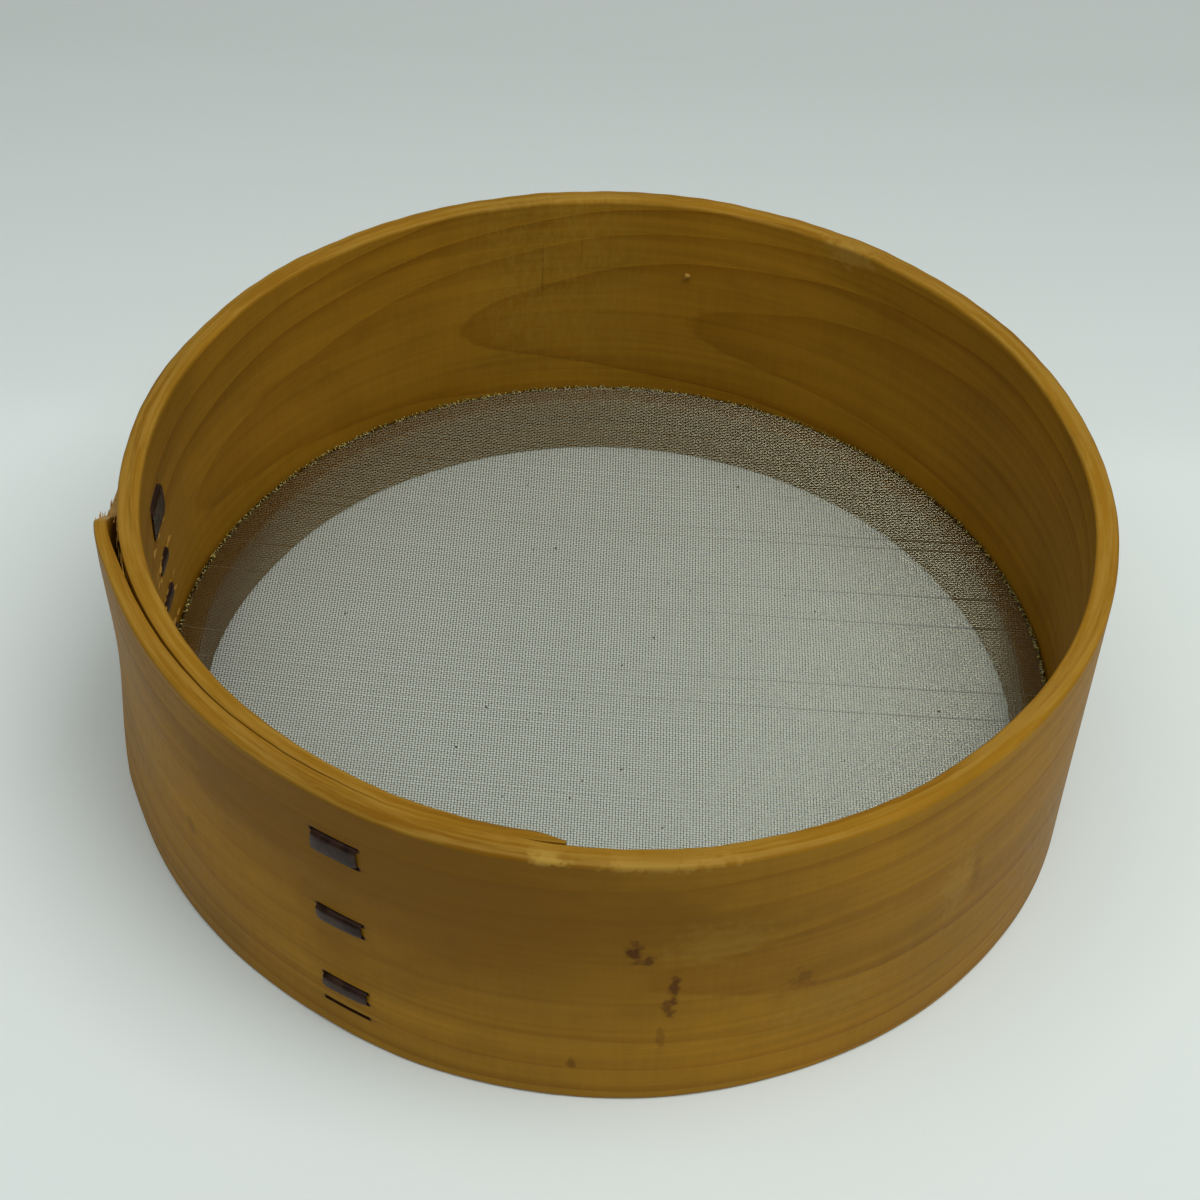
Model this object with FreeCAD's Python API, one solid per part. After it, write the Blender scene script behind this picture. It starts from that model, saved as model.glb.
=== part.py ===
import FreeCAD, Part
import math
import os

# A round bentwood sieve, in millimetres. +Z is up, the origin is the middle of the hoop on the surface it
# stands on, and angles are in degrees from +X towards +Y. The hoop is one long board bent round so that its
# ends overlap: along the board an angle keeps growing past a full turn, so an angle and that angle plus 360
# are the outer and the inner layer of the overlap.

# Hoop
RADIUS = 105.0            # nominal outer radius
HEIGHT = 73.0
BOARD = 4.8               # board thickness
OUTER_TIP = 173.0         # where the board starts, on the outside of the overlap
INNER_TIP = 627.0         # where it ends, inside the overlap
OUTER_TIP_THICKNESS = 1.3
INNER_TIP_THICKNESS = 2.1
OUTER_THINNING = 77.0     # how many degrees of board are thinned towards the outer tip
OUTER_TAPER = 0.6         # power of the thinning towards the outer tip: most of it is in the last part
INNER_THINNING = 82.0
LAYER_CLEARANCE = 0.15    # between the two layers where they lie together
UNDERLAP_MIDDLE = 560.0   # angle where the inner layer has moved half a board inwards
UNDERLAP_SPREAD = 18.0
FLAT_MIDDLE = 240.0       # the hoop is a little flat round its front lacing, and bulges on the other side
FLAT_WIDTH = 30.0
FLAT_DEPTH = 0.84
BULGE_MIDDLE = 325.0
BULGE_WIDTH = 35.0
BULGE_HEIGHT = 0.5
EDGE_EASE = 0.7           # the board's upper and lower edges are taken off by this much, less at thin tips

# The outer tip's upper corner is split away, steeply at first and then almost along the grain. What is left
# springs off the inner layer.
SPLIT_TOP = 190.5         # angle where the split meets the rim
SPLIT_BEND = 184.5        # angle where it turns along the grain
SPLIT_BEND_DEPTH = 9.0
SPLIT_DEPTH = 12.2        # its depth at the outer tip
GAP_MIDDLE = 191.0
GAP_WIDTH = 6.0           # degrees
GAP_DEPTH = 1.3

# Wire cloth and the ring that clamps it
CLOTH = 0.5               # thickness of the woven wire
CLOTH_TOP = 16.1          # height of the cloth's upper side
RING_BOARD = 5.5
RING_ROOM = 0.7           # between ring and hoop, where the cloth's edge is turned down
HEM_SIDE_GAP = 0.1
HEM_BOTTOM = 4.0
LACING_ROOM = 1.4         # more room there where the front lacing passes behind the ring
LACING_ROOM_WIDTH = 8.0   # degrees
STEP_RAMP = 30.0          # degrees over which the ring eases past the board's inner tip
SCARF_ANGLE = 300.0       # where the ring's own ends meet, in a slanting joint
SCARF_SLANT = 60.0
SCARF_GAP = 0.3

# Bark lacing: running stitches in a strip that goes up and down through slits in both layers
STRIP_WIDTH = 10.4
STRIP = 0.7
SLIT_CLEARANCE = 0.15
LIFT = 0.4                # a flat stitch stands this far off the curved board
FRONT_ROW = 241.9        # angle of each row's middle
END_ROW = 178.5
# Depths below the rim at which a strip goes through the board, and how far its two ends run on
FRONT_CROSSINGS = (11.0, 16.4, 33.7, 37.4, 55.7, 59.1, 64.0)
FRONT_TAILS = (4.0, 0.0)
END_CROSSINGS = (13.2, 22.8, 31.4, 34.2, 42.4, 45.6, 54.4)
END_TAILS = (4.2, 1.8)

SAMPLE_STEP = 5.0         # degrees between the points that a bent outline is drawn through
THROUGH = (0.8 * RADIUS, 1.2 * RADIUS)  # radii between which a cutting tool passes right through the wall
OVERSHOOT = 5.0           # how far a cutting tool stands past the piece that it cuts


def bump(angle, middle, width):
    """A smooth hill, 1 high at its middle."""
    return math.exp(-((angle - middle) / width) ** 2)


def thickness(angle):
    """Board thickness: full for most of its length, and thinned towards both tips."""
    from_outer = (angle - OUTER_TIP) / OUTER_THINNING
    to_inner = (INNER_TIP - angle) / INNER_THINNING
    if from_outer < 1:
        return OUTER_TIP_THICKNESS + (BOARD - OUTER_TIP_THICKNESS) * max(from_outer, 0) ** OUTER_TAPER
    if to_inner < 1:
        return INNER_TIP_THICKNESS + (BOARD - INNER_TIP_THICKNESS) * to_inner
    return BOARD


def outer_face(angle):
    """Radius of the board's outer face. The last stretch drifts in by a board, to lie under the first."""
    if angle < INNER_TIP - 360:
        return inner_face(angle) + thickness(angle)
    flat = bump(angle, FLAT_MIDDLE, FLAT_WIDTH) + bump(angle, FLAT_MIDDLE + 360, FLAT_WIDTH)
    bulge = bump(angle, BULGE_MIDDLE, BULGE_WIDTH)
    drift = (BOARD + LAYER_CLEARANCE) / (1 + math.exp((UNDERLAP_MIDDLE - angle) / UNDERLAP_SPREAD))
    return RADIUS - FLAT_DEPTH * flat + BULGE_HEIGHT * bulge - drift


def inner_face(angle):
    if angle < INNER_TIP - 360:
        gap = LAYER_CLEARANCE + GAP_DEPTH * bump(angle, GAP_MIDDLE, GAP_WIDTH)
        return outer_face(angle + 360) + gap
    return outer_face(angle) - thickness(angle)


def ring_face(angle):
    """Radius of the clamping ring's outer face, which follows the hoop's innermost face."""
    turn = angle % 360
    past_tip = (turn - (INNER_TIP - 360)) / STEP_RAMP
    if past_tip <= 0:
        hoop = inner_face(turn + 360)
    else:
        ease = min(past_tip, 1)
        ease = ease * ease * (3 - 2 * ease)
        hoop = (1 - ease) * inner_face(INNER_TIP) + ease * inner_face(turn)
    return hoop - RING_ROOM - LACING_ROOM * bump(turn, FRONT_ROW, LACING_ROOM_WIDTH)


def spot(radius, angle, z=0.0):
    turn = math.radians(angle)
    return FreeCAD.Vector(radius * math.cos(turn), radius * math.sin(turn), z)


def curve(face, start, end):
    """A smooth curve at the radius that face gives for each angle."""
    count = max(2, round((end - start) / SAMPLE_STEP)) + 1
    angles = [start + (end - start) * i / (count - 1) for i in range(count)]
    line = Part.BSplineCurve()
    line.interpolate([spot(face(a), a) for a in angles])
    return line.toShape()


def loop(face):
    """A closed smooth curve all the way round."""
    count = round(360 / SAMPLE_STEP)
    line = Part.BSplineCurve()
    points = [spot(face(i * SAMPLE_STEP), i * SAMPLE_STEP) for i in range(count)]
    line.interpolate(Points=points, PeriodicFlag=True)
    return Part.Wire([line.toShape()])


def board_outline(start, end, height, eased):
    """The board's section at one height, drawn in from its faces where the edges are eased."""
    def ease(angle):
        return min(EDGE_EASE, thickness(angle) / 4) if eased else 0

    def outer(angle):
        return outer_face(angle) - ease(angle)

    def inner(angle):
        return inner_face(angle) + ease(angle)

    tips = [Part.LineSegment(spot(inner(a), a), spot(outer(a), a)).toShape() for a in (start, end)]
    edges = [curve(outer, start, end), tips[1], curve(inner, start, end), tips[0]]
    outline = Part.Wire(Part.__sortEdges__(edges))
    outline.translate(FreeCAD.Vector(0, 0, height))
    return outline


def bent_board(start, end):
    """The stretch of the hoop's board between two angles, with its upper and lower edges eased."""
    levels = [(0, True), (EDGE_EASE, False), (HEIGHT - EDGE_EASE, False), (HEIGHT, True)]
    return Part.makeLoft([board_outline(start, end, z, eased) for z, eased in levels], True, True)


def band(outer, inner, bottom, top):
    """A closed ring between two radii, which are functions of the angle."""
    face = Part.Face([loop(outer), loop(inner)], "Part::FaceMakerBullseye")
    solid = face.extrude(FreeCAD.Vector(0, 0, top - bottom))
    solid.translate(FreeCAD.Vector(0, 0, bottom))
    return solid


def slanted_prism(corners, angle, inside, outside):
    """A prism through the wall at an angle, between two radii. Corners are (sideways, height) pairs."""
    turn = math.radians(angle)
    outward = FreeCAD.Vector(math.cos(turn), math.sin(turn), 0)
    sideways = FreeCAD.Vector(-math.sin(turn), math.cos(turn), 0)
    up = FreeCAD.Vector(0, 0, 1)
    points = [outward * inside + sideways * s + up * z for s, z in corners]
    return Part.Face(Part.makePolygon(points + points[:1])).extrude(outward * (outside - inside))


def plate(angle, width, bottom, top, inside, outside):
    half = width / 2
    corners = [(-half, bottom), (half, bottom), (half, top), (-half, top)]
    return slanted_prism(corners, angle, inside, outside)


def slits(angle, depths):
    """What is cut from the board for one row of lacing."""
    tall = STRIP / 2 + SLIT_CLEARANCE
    wide = STRIP_WIDTH + 2 * SLIT_CLEARANCE
    return [plate(angle, wide, HEIGHT - d - tall, HEIGHT - d + tall, *THROUGH) for d in depths]


def lacing(angle, depths, tails, starts_outside):
    """One bark strip in running stitches: a plate for each stitch and a web for each way through."""
    outer_skin = outer_face(angle) + LIFT
    inner_skin = inner_face(angle + 360) - LIFT
    half = STRIP / 2
    ends = [depths[0] - tails[0]] + list(depths) + [depths[-1] + tails[1]]
    pieces = []
    outside = starts_outside
    for upper, lower in zip(ends, ends[1:]):
        if lower > upper:
            near, far = (outer_skin, outer_skin + STRIP) if outside else (inner_skin - STRIP, inner_skin)
            pieces.append(plate(angle, STRIP_WIDTH, HEIGHT - lower - half, HEIGHT - upper + half, near, far))
        outside = not outside
    for depth in depths:
        near, far = inner_skin - half, outer_skin + half
        if depth == depths[-1] and tails[1] == 0:
            far = outer_skin - LIFT
        pieces.append(plate(angle, STRIP_WIDTH, HEIGHT - depth - half, HEIGHT - depth + half, near, far))
    return pieces[0].fuse(pieces[1:]).removeSplitter()


def split_corner():
    """What is split off the outer tip: all above a line that falls from the rim, steeply and then gently."""
    bend, tip = [math.radians(SPLIT_TOP - angle) * RADIUS for angle in (SPLIT_BEND, OUTER_TIP)]
    above = HEIGHT + OVERSHOOT
    corners = [(0, HEIGHT), (0, above), (-tip - OVERSHOOT, above), (-tip - OVERSHOOT, HEIGHT - SPLIT_DEPTH),
               (-tip, HEIGHT - SPLIT_DEPTH), (-bend, HEIGHT - SPLIT_BEND_DEPTH)]
    return slanted_prism(corners, SPLIT_TOP, *THROUGH)


def hoop():
    tip = bent_board(OUTER_TIP, SPLIT_TOP).cut(split_corner())
    board = bent_board(SPLIT_TOP, INNER_TIP).fuse(tip).removeSplitter()
    return board.cut(slits(FRONT_ROW, FRONT_CROSSINGS) + slits(END_ROW, END_CROSSINGS))


def clamping_ring():
    top = CLOTH_TOP - CLOTH
    ring = band(ring_face, lambda a: ring_face(a) - RING_BOARD, 0, top)
    low, high = -OVERSHOOT, top + OVERSHOOT
    lean = 1 / math.tan(math.radians(SCARF_SLANT))
    corners = [(lean * low, low), (lean * low + SCARF_GAP, low),
               (lean * high + SCARF_GAP, high), (lean * high, high)]
    return ring.cut(slanted_prism(corners, SCARF_ANGLE, *THROUGH))


def hem_face(angle):
    """Radius of the outer side of the cloth's turned-down edge."""
    return ring_face(angle) + HEM_SIDE_GAP + CLOTH


def wire_cloth():
    disc = Part.Face(loop(hem_face)).extrude(FreeCAD.Vector(0, 0, CLOTH))
    disc.translate(FreeCAD.Vector(0, 0, CLOTH_TOP - CLOTH))
    return disc


def wire_cloth_hem():
    return band(hem_face, lambda a: ring_face(a) + HEM_SIDE_GAP, HEM_BOTTOM, CLOTH_TOP - CLOTH)


def main():
    nodes = {
        "hoop": hoop(),
        "clamping_ring": clamping_ring(),
        "wire_cloth": wire_cloth(),
        "wire_cloth_hem": wire_cloth_hem(),
        "front_lacing": lacing(FRONT_ROW, FRONT_CROSSINGS, FRONT_TAILS, False),
        "end_lacing": lacing(END_ROW, END_CROSSINGS, END_TAILS, True),
    }
    os.makedirs("parts", exist_ok=True)
    for name, shape in nodes.items():
        solid = shape.Solids[0] if len(shape.Solids) == 1 else shape
        print(name, "solids", len(shape.Solids), "valid", shape.isValid(), "mm3", round(shape.Volume))
        solid.exportStep(os.path.join("parts", name + ".step"))


main()
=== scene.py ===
import math
import random

import bpy
import numpy as np
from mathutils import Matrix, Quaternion, Vector


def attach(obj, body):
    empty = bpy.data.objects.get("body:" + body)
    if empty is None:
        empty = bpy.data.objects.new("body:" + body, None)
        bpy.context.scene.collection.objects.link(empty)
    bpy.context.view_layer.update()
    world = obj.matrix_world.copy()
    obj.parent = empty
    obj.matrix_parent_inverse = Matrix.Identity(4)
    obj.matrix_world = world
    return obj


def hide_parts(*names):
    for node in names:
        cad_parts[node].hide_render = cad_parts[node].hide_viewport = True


# A round bentwood sieve. Shapes are worked out in millimetres and become metres as each mesh is made. Angles
# are in degrees from +X towards +Y. Along the hoop's board an angle keeps growing past a full turn, so where
# the board overlaps itself an angle and that angle plus 360 are its outer and its inner layer.

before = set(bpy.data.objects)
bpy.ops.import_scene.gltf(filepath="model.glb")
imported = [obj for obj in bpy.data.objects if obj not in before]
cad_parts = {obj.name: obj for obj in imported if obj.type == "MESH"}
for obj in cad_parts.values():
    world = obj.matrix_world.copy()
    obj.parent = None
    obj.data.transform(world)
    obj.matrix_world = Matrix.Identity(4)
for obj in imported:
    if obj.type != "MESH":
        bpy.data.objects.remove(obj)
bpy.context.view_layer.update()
MM = 0.001

# Hoop, as in the CAD model
RADIUS = 105.0
HEIGHT = 73.0
BOARD = 4.8
OUTER_TIP = 173.0
INNER_TIP = 627.0
OUTER_TIP_THICKNESS = 1.3
INNER_TIP_THICKNESS = 2.1
OUTER_THINNING = 77.0
OUTER_TAPER = 0.6
INNER_THINNING = 82.0
LAYER_CLEARANCE = 0.15
UNDERLAP_MIDDLE = 560.0
UNDERLAP_SPREAD = 18.0
FLAT_MIDDLE = 240.0
FLAT_WIDTH = 30.0
FLAT_DEPTH = 0.84
BULGE_MIDDLE = 325.0
BULGE_WIDTH = 35.0
BULGE_HEIGHT = 0.5
SPLIT_TOP = 190.5
SPLIT_BEND = 184.5
SPLIT_BEND_DEPTH = 9.0
SPLIT_DEPTH = 12.2
GAP_MIDDLE = 191.0
GAP_WIDTH = 6.0
GAP_DEPTH = 1.3

# Wire cloth and clamping ring, as in the CAD model
CLOTH = 0.5
CLOTH_TOP = 16.1
RING_BOARD = 5.5
RING_ROOM = 0.7
HEM_SIDE_GAP = 0.1
HEM_BOTTOM = 4.0
LACING_ROOM = 1.4
LACING_ROOM_WIDTH = 8.0
STEP_RAMP = 30.0
SCARF_ANGLE = 300.0
SCARF_SLANT = 60.0
SCARF_GAP = 0.3

# Bark lacing, as in the CAD model
STRIP_WIDTH = 10.4
STRIP = 0.7
SLIT_CLEARANCE = 0.15
LIFT = 0.1                # a stitch's own thickness is on top of this; the CAD plates stand off a little more
FRONT_ROW = 241.9
END_ROW = 178.5
FRONT_CROSSINGS = (11.0, 16.4, 33.7, 37.4, 55.7, 59.1, 64.0)
FRONT_TAILS = (4.0, 0.0)
END_CROSSINGS = (13.2, 22.8, 31.4, 34.2, 42.4, 45.6, 54.4)
END_TAILS = (4.2, 1.8)

# Detail of the wood that only the looks need: millimetres, and degrees for places and lengths along the board
ANGLE_STEP = 0.6          # between the hoop mesh's sections
LINE_STEP = 4.0           # between its lines along the board
RING_STEP = 1.5           # between the ring mesh's sections
RING_LINE_ROOM = 1.2      # between the ring mesh's outermost lines and its edges
ARC_STEPS = 3             # faces round each worn edge
TOP_LINE = HEIGHT - 1.1   # the hoop mesh's uppermost line
STEADY_LINE = HEIGHT - 12.6    # its lines up to here keep their height where the outer tip has split away
SQUEEZED_ROOM = 0.4       # room below the rim that the squeezed lines above it keep
WORN_EDGE = 0.85          # radius of the worn upper and lower edges
TIGHT_EDGE = 0.3          # radius where the two layers meet
EDGE_REACH = 1.2          # how far below the rim the wood looks worn and carries a painted highlight
CUP = 0.7                 # how much the outer tip's board is cupped
CUP_SPAN = 71.0           # height over which the cup goes in and out once
CUP_SHIFT = 0.16
FLARE = 1.2               # how far the outer tip's lower edge stands out
CUP_END = 232.0           # angle where cup and flare have died away
CUP_LENGTH = 40.0
FACETS = (477.0, 501.0, 525.0)    # where bending left slight ridges in the board
FACET_HEIGHT = 0.16
FACET_WIDTH = 3.5
UNDER_FROM = 545.0        # angle where the inner layer's edges begin to tighten under the outer layer
UNDER_LENGTH = 12.0
OVER_LENGTH = 6.0         # length over which the outer layer's loosen again, up to the inner tip
EDGE_SHUT = 0.93          # how much smaller the edges at the seam are before the inner tip
EDGE_SHUT_FROM = 594.0
EDGE_SHUT_LENGTH = 16.0
SEAM_SHUT_FROM = 598.0    # angle from which the seam is pressed shut
SEAM_SHUT_LENGTH = 14.0
SEAM_LEFT = 0.01          # gap that is left there
TIP_WEAR = 1.3            # how much the inner tip's end is rounded off
TIP_WEAR_LENGTH = 3.6

# Detail of the lacing that only the looks need
SEEN_TAIL = 0.15          # how much is left of the end row's outside tail
SUNK_END = 2.6            # how far below the board's face the front lacing's last end lies
CROWN = {True: 0.15, False: -0.25}     # how far a long stitch stands off, outside and inside
CROWN_SPAN = 6.0          # a stitch shorter than this stands off less
SLIVER = 11.0             # length over which the end strip widens from its tip
NARROWED = 0.28           # how much narrower it is from NARROWED_FROM on
NARROWED_FROM = 16.0
NARROWED_LENGTH = 5.0

# Detail of the wires that only the looks need
WIRE_PITCH = 0.665        # between the lengthwise wires
WEFT_CLOSER = 0.965       # the crosswise wires lie a little closer
WIRE = 0.19               # wire diameter
WAVE = 0.66               # how far a wire's middle goes up and down at each crossing, in wire diameters
WEFT_BOW = 0.105          # how much the crosswise wires bow
CLOTH_BANDS = 3           # pieces that the wires of each direction are split into
# The lengthwise wires take only the darker copy of the wire and the crosswise ones the lighter: one steel, as
# painted shade and painted highlight for how each direction catches the light
WARP_SHADES = (0, 60, 0, 0)    # how often each shade of wire comes in the lengthwise wires
WEFT_SHADES = (60, 0, 0, 2)    # and in the crosswise ones
HEM_ENDS = 1500
HEM_ROUNDS = 15           # wires that run round the turned-down edge
FRINGE_ENDS = 1500

GRAINS = 150              # of old soil, EDGE_GRAINS of them along the cloth's edge
EDGE_GRAINS = 70


# ---------------------------------------------------------------- shape of the hoop and of what sits in it

def bump(angle, middle, width):
    """A smooth hill, 1 high at its middle."""
    return np.exp(-((angle - middle) / width) ** 2)


def smooth(x):
    x = np.clip(x, 0, 1)
    return x * x * (3 - 2 * x)


def thickness(angle):
    from_outer = np.clip((angle - OUTER_TIP) / OUTER_THINNING, 0, 1) ** OUTER_TAPER
    to_inner = np.clip((INNER_TIP - angle) / INNER_THINNING, 0, 1)
    return np.minimum(OUTER_TIP_THICKNESS + (BOARD - OUTER_TIP_THICKNESS) * from_outer,
                      INNER_TIP_THICKNESS + (BOARD - INNER_TIP_THICKNESS) * to_inner)


def main_face(angle):
    """Radius of the board's outer face wherever it isn't the overlap's outer layer."""
    flat = bump(angle, FLAT_MIDDLE, FLAT_WIDTH) + bump(angle, FLAT_MIDDLE + 360, FLAT_WIDTH)
    bulge = bump(angle, BULGE_MIDDLE, BULGE_WIDTH)
    drift = (BOARD + LAYER_CLEARANCE) / (1 + np.exp((UNDERLAP_MIDDLE - angle) / UNDERLAP_SPREAD))
    return RADIUS - FLAT_DEPTH * flat + BULGE_HEIGHT * bulge - drift


def inner_face(angle):
    gap = LAYER_CLEARANCE + GAP_DEPTH * bump(angle, GAP_MIDDLE, GAP_WIDTH)
    outer_layer = main_face(angle + 360) + gap
    return np.where(angle < INNER_TIP - 360, outer_layer, main_face(angle) - thickness(angle))


def outer_face(angle):
    return np.where(angle < INNER_TIP - 360, inner_face(angle) + thickness(angle), main_face(angle))


def warp(angle, height):
    """How far the real board stands off its smooth shape: a cupped outer tip, slight waves and ridges."""
    depth = HEIGHT - height
    cup = CUP * np.cos(2 * math.pi * (depth + 1.0) / CUP_SPAN) - CUP_SHIFT
    flare = FLARE * depth / HEIGHT
    tip = smooth((CUP_END - angle) / CUP_LENGTH)
    slow_wave = 0.10 * np.sin(np.radians(angle * 7.0) + height / 21.0)
    fast_wave = 0.07 * np.sin(np.radians(angle * 13.0) + 1.3)
    facets = sum(FACET_HEIGHT * np.exp(-np.abs((angle - at) / FACET_WIDTH)) for at in FACETS)
    return (cup + flare) * tip + (slow_wave + fast_wave) + facets


def ring_face(angle):
    """Radius of the clamping ring's outer face."""
    turn = np.mod(angle, 360)
    past_tip = smooth((turn - (INNER_TIP - 360)) / STEP_RAMP)
    after = (1 - past_tip) * inner_face(np.array(INNER_TIP)) + past_tip * inner_face(turn)
    hoop = np.where(turn <= INNER_TIP - 360, inner_face(turn + 360), after)
    return hoop - RING_ROOM - LACING_ROOM * bump(turn, FRONT_ROW, LACING_ROOM_WIDTH)


def rim_height(angle):
    """Height of the board's upper edge: lower where the outer tip has split away."""
    split = np.interp(angle, (OUTER_TIP, SPLIT_BEND, SPLIT_TOP), (SPLIT_DEPTH, SPLIT_BEND_DEPTH, 0))
    torn = 0.20 * np.sin(angle * 2.9) + 0.16 * np.sin(angle * 7.3 + 1) + 0.08 * np.sin(angle * 17 + 2)
    wear = 0.06 * np.sin(np.radians(angle) * 31) + 0.05 * np.sin(np.radians(angle) * 83 + 2)
    return HEIGHT - split - np.abs(torn) * smooth(split / 0.5) - 0.11 - wear


def in_plane(radius, angle, height):
    turn = np.radians(angle)
    return np.stack([radius * np.cos(turn), radius * np.sin(turn), height + 0 * radius], axis=-1)


def directions(angle):
    """Outward, sideways and up at an angle."""
    turn = math.radians(angle)
    outward = np.array([math.cos(turn), math.sin(turn), 0])
    return outward, np.array([-math.sin(turn), math.cos(turn), 0]), np.array([0, 0, 1.0])


# ---------------------------------------------------------------- growth rings in the board

def drawn_through(x, spots):
    """A smooth line through (place, value) spots."""
    places, values = zip(*spots)
    around = np.linspace(-14, 14, 9)
    return sum(np.interp(x + step, places, values) for step in around) / len(around)


# Along the board, as (angle, value): the growth ring at the outer face level with the heart, and that level
TOUCHING = ((173, 1.6), (245, 1.2), (277, 1.0), (300, 0.7), (350, 0.2), (380, 0.0), (396, 0.1), (442, 1.08),
            (473, 2.08), (524, 3.15), (627, 4.4))
HEART = ((173, 37.0), (277, 38.0), (360, 40.0), (442, 38.3), (524, 34.0), (627, 33.0))
PITH = 38.0               # radius of growth ring 0
YEAR = 4.3                # growth in a year


def years(angle, height, depth):
    """Which growth ring a point of the board lies in."""
    away = PITH + YEAR * drawn_through(angle, TOUCHING) - depth
    sideways = height - drawn_through(angle, HEART)
    return (np.hypot(away, sideways) - PITH) / YEAR


# ---------------------------------------------------------------- meshes

def new_piece(name, points, faces, materials, attributes=(), face_materials=None, crease=None):
    """A riding mesh piece from points in millimetres."""
    mesh = bpy.data.meshes.new(name)
    mesh.from_pydata(np.asarray(points, dtype=float) * MM, [], faces)
    for material in materials:
        mesh.materials.append(material)
    if face_materials is not None:
        mesh.polygons.foreach_set("material_index", np.asarray(face_materials, dtype=np.int32))
    for label, values in attributes:
        values = np.asarray(values, dtype=np.float32)
        kind, key = ("FLOAT_VECTOR", "vector") if values.ndim == 2 else ("FLOAT", "value")
        mesh.attributes.new(label, kind, "POINT").data.foreach_set(key, values.ravel())
    mesh.validate()
    mesh.shade_smooth()
    if crease is not None:
        mesh.set_sharp_from_angle(angle=math.radians(crease))
    piece = bpy.data.objects.new(name, mesh)
    bpy.context.scene.collection.objects.link(piece)
    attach(piece, "root")
    return piece


def grid_faces(rows, columns, closed=False):
    """Quads of a grid of points, row after row, closed round its columns if asked."""
    across = np.arange(columns if closed else columns - 1)
    row, column = np.meshgrid(np.arange(rows - 1), across, indexing="ij")
    after = (column + 1) % columns
    quads = [row * columns + column, (row + 1) * columns + column, (row + 1) * columns + after,
             row * columns + after]
    return np.stack(quads, axis=-1).reshape(-1, 4)


def with_lines(regular, extra, room):
    """Regular places plus some that have to be hit exactly, with the regular ones close to those left out."""
    kept = [x for x in regular if all(abs(x - y) > room for y in extra)]
    return np.array(sorted(kept + list(extra)))


def section_loops(angles, lines, outer, inner, bottom, top, outer_edge, inner_edge, lean=0.0):
    """Section loops of a bent board: up its outer face, over the top, down its inner face, back underneath.

    outer and inner give a radius for an angle and a height. lines are heights, for all sections or for each.
    The rest but lean are values per section. lean is how many degrees a section turns in 1 mm of height."""
    arc = np.linspace(0, math.pi / 2, ARC_STEPS + 1)
    drawn_in, dropped = 1 - np.cos(arc), 1 - np.sin(arc)
    one = np.ones((len(angles), 1))

    def corner(face, edge, limit, direction, backwards):
        order = slice(None, None, -1) if backwards else slice(None)
        height = limit[:, None] - direction * edge[:, None] * dropped[None, order]
        inset = edge[:, None] * drawn_in[None, order]
        turned = angles[:, None] + lean * height
        offset = -inset if face is outer else inset
        return turned, height, face(turned, height) + offset

    def wall(face, heights):
        turned = angles[:, None] + lean * heights
        return turned, heights, face(turned, heights)

    up = one * lines if np.ndim(lines) == 1 else lines
    runs = [wall(outer, up),
            corner(outer, outer_edge, top, 1, False),
            corner(inner, inner_edge, top, 1, True),
            wall(inner, up[:, ::-1]),
            corner(inner, inner_edge, bottom, -1, False),
            corner(outer, outer_edge, bottom, -1, True)]
    return [np.concatenate(part, axis=1) for part in zip(*runs)]


def end_caps(rows, columns, count):
    """Faces that close the two ends of a bent board whose section loop has count lines on each face."""
    corner = 2 * (ARC_STEPS + 1)
    outside = list(range(count))
    inside = [columns - corner - 1 - i for i in range(count)]
    over = list(range(count - 1, count + corner + 1))
    under = [columns - corner - 1 + i for i in range(corner + 1)] + [0]
    cap = [over, under] + [[outside[i], outside[i + 1], inside[i + 1], inside[i]] for i in range(count - 1)]
    last = (rows - 1) * columns
    return [face[::-1] for face in cap], [[last + i for i in face] for face in cap]


def slit_half_width(radius):
    return math.degrees(math.asin((STRIP_WIDTH / 2 + SLIT_CLEARANCE) / radius))


def slit_windows():
    """Where the slits go through the board: from and to in angle, from and to in height."""
    tall = STRIP / 2 + SLIT_CLEARANCE
    windows = []
    for row, crossings in ((FRONT_ROW, FRONT_CROSSINGS), (END_ROW, END_CROSSINGS)):
        for middle in (row, row + 360):
            half = slit_half_width(float(outer_face(np.array(middle))))
            for crossing in crossings:
                level = HEIGHT - crossing
                windows.append((middle - half, middle + half, level - tall, level + tall))
    return windows


def hoop_edges(angles):
    """Radii of the board's outer and inner edges: worn where they are free, tight where its layers meet."""
    limit = thickness(angles) * 0.3
    wear = 1 + 0.10 * np.sin(np.radians(angles) * 17) + 0.06 * np.sin(np.radians(angles) * 41 + 1)
    under_layer = smooth((angles - UNDER_FROM) / UNDER_LENGTH)
    over_layer = smooth((INNER_TIP - 360 - angles) / OVER_LENGTH)
    shut = 1 - EDGE_SHUT * smooth((angles - EDGE_SHUT_FROM) / EDGE_SHUT_LENGTH)
    shut_over = 1 - EDGE_SHUT * smooth((angles + 360 - EDGE_SHUT_FROM) / EDGE_SHUT_LENGTH)
    outer_edge = WORN_EDGE * wear * (1 - under_layer) + TIGHT_EDGE * shut * under_layer
    inner_edge = WORN_EDGE * wear * (1 - over_layer) + TIGHT_EDGE * shut_over * over_layer
    return np.minimum(limit, outer_edge), np.minimum(limit, inner_edge)


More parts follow.
